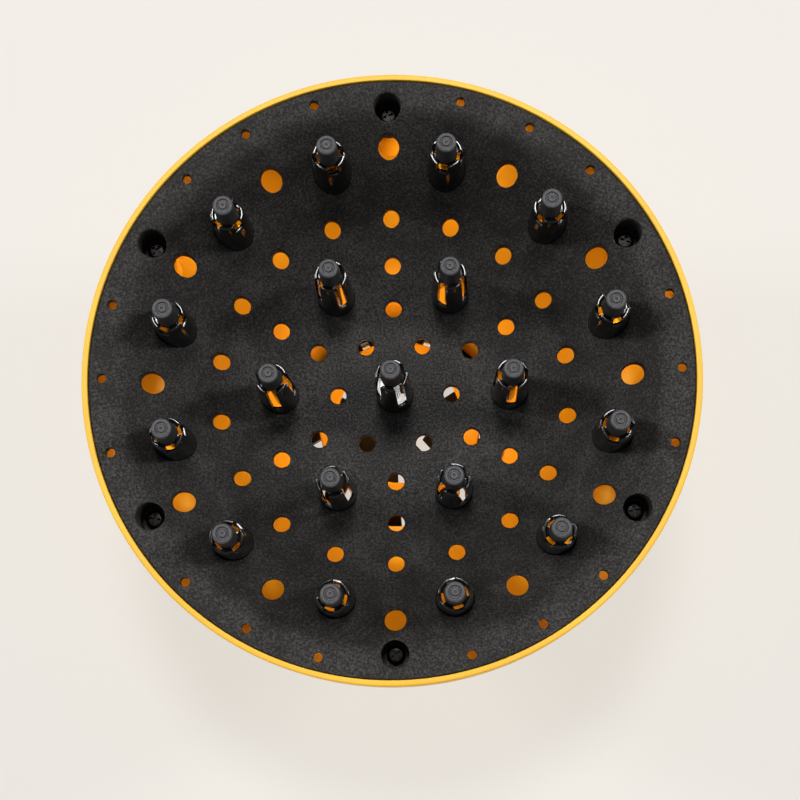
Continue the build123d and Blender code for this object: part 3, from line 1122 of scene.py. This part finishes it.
@dataclass
class Screws:
    """Pan-head screws with a cross recess."""

    finish: bpy.types.Material
    head_mm: float = 2.5
    shank_mm: float = 1.4
    length_mm: float = 10.0
    point_mm: float = 1.2
    cross_mm: tuple[float, float, float] = (3.0, 0.8, 1.1)
    turns_deg: tuple[int, ...] = (20, 65, 10, 38, 80, 52)

    def build(self) -> None:
        """Models one screw and copies it to every well."""
        head = mm(SCREW_HEAD_MM)
        shank = mm(self.shank_mm)
        end = -mm(self.length_mm)
        corners = [
            (0, end, 0),
            (shank / 3, end, 0),
            (shank, end + mm(self.point_mm), 0),
            (shank, 0, 0),
            (mm(self.head_mm), 0, mm(0.1)),
            (mm(self.head_mm), head, mm(0.95)),
            (0, head, 0),
        ]
        model = lathe("screw", divided(rounded(corners, 15), mm(2)), 40)
        length, width, depth = (mm(v) for v in self.cross_mm)
        arms = [block("arm", (0, 0, head), (*sides, 2 * depth)) for sides in ((length, width), (width, length))]
        combine(arms[0], arms[1:], "UNION")
        combine(model, arms[:1], "DIFFERENCE")
        for screw, angle in zip(SCREWS, self.turns_deg):
            low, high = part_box(screw)
            at = (low + high) / 2
            turn = Matrix.Rotation(math.radians(angle), 4, "Z")
            piece = copy_to(model, "well_" + screw, Matrix.Translation((at.x, at.y, high.z - head)) @ turn)
            smooth(piece, 30)
            dress(piece, Slot.SCREW, self.finish, screw)
        bpy.data.objects.remove(model)


@dataclass
class NeckFittings:
    """Rubber sleeve in the neck, its retainer and the ring on its fingers."""

    rubber: bpy.types.Material
    plastic: bpy.types.Material
    wall_mm: float = 1.6
    grip_mm: float = 23.4
    grip_low_mm: float = 19.2
    grip_high_mm: float = 24.4
    petal_mm: float = 9.0
    root_mm: float = 6.2
    low_mm: float = 3.0
    ring_high_mm: float = 10.0
    fingers: int = 9
    gap_mm: float = 2.6
    gap_turn_deg: float = 18.0
    gap_height_mm: float = 30.0
    root_margin_mm: float = 1.5
    retainer_mm: float = 30.5
    tie_inner_mm: float = 19.3
    tie_round_mm: float = 0.7
    retainer_lead_mm: float = 1.0
    chord_deg: float = 15.0

    def build(self) -> None:
        """Models the sleeve, the finger ring and the retainer."""
        self.build_sleeve()
        self.build_ring()
        self.build_retainer()

    def build_ring(self) -> None:
        """Models the ring that holds the fingers."""
        low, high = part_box("finger_ring")
        edge = mm(self.tie_round_mm)
        inner = mm(self.tie_inner_mm)
        middle = ((inner + high.x) / 2, low.z, 0)
        corners = [
            middle,
            (high.x, low.z, edge),
            (high.x, high.z, edge),
            (inner, high.z, edge),
            (inner, low.z, edge),
            middle,
        ]
        ring = lathe("finger_tie", rounded(corners, self.chord_deg), 120)
        smooth(ring, 50)
        dress(ring, Slot.SHELL, self.plastic, "finger_ring")

    def build_retainer(self) -> None:
        """Models the ring that keeps the sleeve in the neck."""
        _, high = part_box("sleeve_retainer")
        inner = mm(self.retainer_mm)
        lead = mm(self.retainer_lead_mm)
        middle = ((inner + high.x) / 2, high.z, 0)
        corners = [
            middle,
            (inner, high.z, mm(0.2)),
            (inner, lead, mm(0.4)),
            (inner + lead, 0, mm(0.3)),
            (high.x, 0, mm(0.2)),
            (high.x, high.z, mm(0.2)),
            middle,
        ]
        retainer = lathe("neck_retainer", rounded(corners, self.chord_deg), 160)
        smooth(retainer, 50)
        dress(retainer, Slot.SHELL, self.plastic, "sleeve_retainer")

    def build_sleeve(self) -> None:
        """Models the sleeve with its fingers and petals."""
        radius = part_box("grip_sleeve")[1].x
        wall = mm(self.wall_mm)
        inside = radius - wall
        grip = mm(self.grip_mm)
        back = grip + wall
        low = mm(self.low_mm)
        root = mm(self.root_mm)
        grip_low = mm(self.grip_low_mm)
        grip_high = mm(self.grip_high_mm)
        bend = grip_low + wall / 4
        rise = (bend - root) / (inside - back)
        foot = grip + (grip_low - low) / rise
        petal = mm(self.petal_mm)
        start = ((radius + foot) / 2, low, 0)
        corners = [
            start,
            (radius, low, mm(0.3)),
            (radius, mm(self.ring_high_mm), mm(0.3)),
            (inside, mm(self.ring_high_mm), mm(0.3)),
            (inside, root, mm(1.0)),
            (back, bend, mm(2.5)),
            (back, grip_high + wall, mm(0.6)),
            (petal, grip_high + wall, mm(0.5)),
            (petal, grip_high, mm(0.3)),
            (grip, grip_high, mm(0.5)),
            (grip, grip_low, mm(1.0)),
            (foot, low, mm(0.3)),
            start,
        ]
        sleeve = lathe("rubber_sleeve", divided(rounded(corners, self.chord_deg), mm(4)), 180)
        span = inside - mm(self.root_margin_mm)
        tall = mm(self.gap_height_mm)
        for finger in range(self.fingers):
            gap = block("gap", (0, span / 2, tall / 2), (mm(self.gap_mm), span, tall))
            turn = -math.radians(self.gap_turn_deg + finger * 360 / self.fingers)
            combine(sleeve, [copy_to(gap, "gap", Matrix.Rotation(turn, 4, "Z"))], "DIFFERENCE")
            bpy.data.objects.remove(gap)
        smooth(sleeve, 40)
        dress(sleeve, Slot.SLEEVE, self.rubber, "grip_sleeve")


@dataclass(frozen=True)
class VentRing:
    """One ring of round vents."""

    ring_mm: float
    hole_mm: float
    azimuths: tuple[int, ...]
    round_mm: float = 0.42
    sides: int = 32


SCREW_HEAD_MM = 2.0
WELL_FLOOR_MM = 2.0
SCREWS = tuple(f"screw_{number}" for number in range(1, 7))
PRONGS = ("centre", *(f"inner_{n}" for n in range(1, 7)), *(f"outer_{n}" for n in range(1, 13)))
VENTS = (
    VentRing(77.3, 1.25, tuple(a for a in range(0, 360, 15) if a % 60), 0.15, 20),
    VentRing(65.0, 2.9, tuple(range(0, 360, 30)), sides=40),
    VentRing(48.85, 2.3, tuple(range(0, 360, 20))),
    VentRing(36.9, 2.35, tuple(range(0, 360, 60))),
    VentRing(24.9, 2.35, tuple(range(0, 360, 60))),
    VentRing(16.1, 2.3, tuple(range(30, 390, 60))),
)


def main() -> None:
    """Builds the studio and the diffuser."""
    logging.basicConfig(level=logging.INFO, format="%(message)s")
    bpy.context.scene.view_settings.view_transform = "Standard"
    yellow = YellowAbs().material()
    Studio().build(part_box("rear_shell")[1].z)
    RearShell(yellow).build()
    FrontPlate(SparkErodedAbs().material()).build()
    Prongs(PolishedAbs().material()).build()
    Tips(SoftTipTpe().material()).build()
    Screws(BlackenedSteel().material()).build()
    NeckFittings(SleeveRubber().material(), yellow).build()


if __name__ == "__main__":
    main()
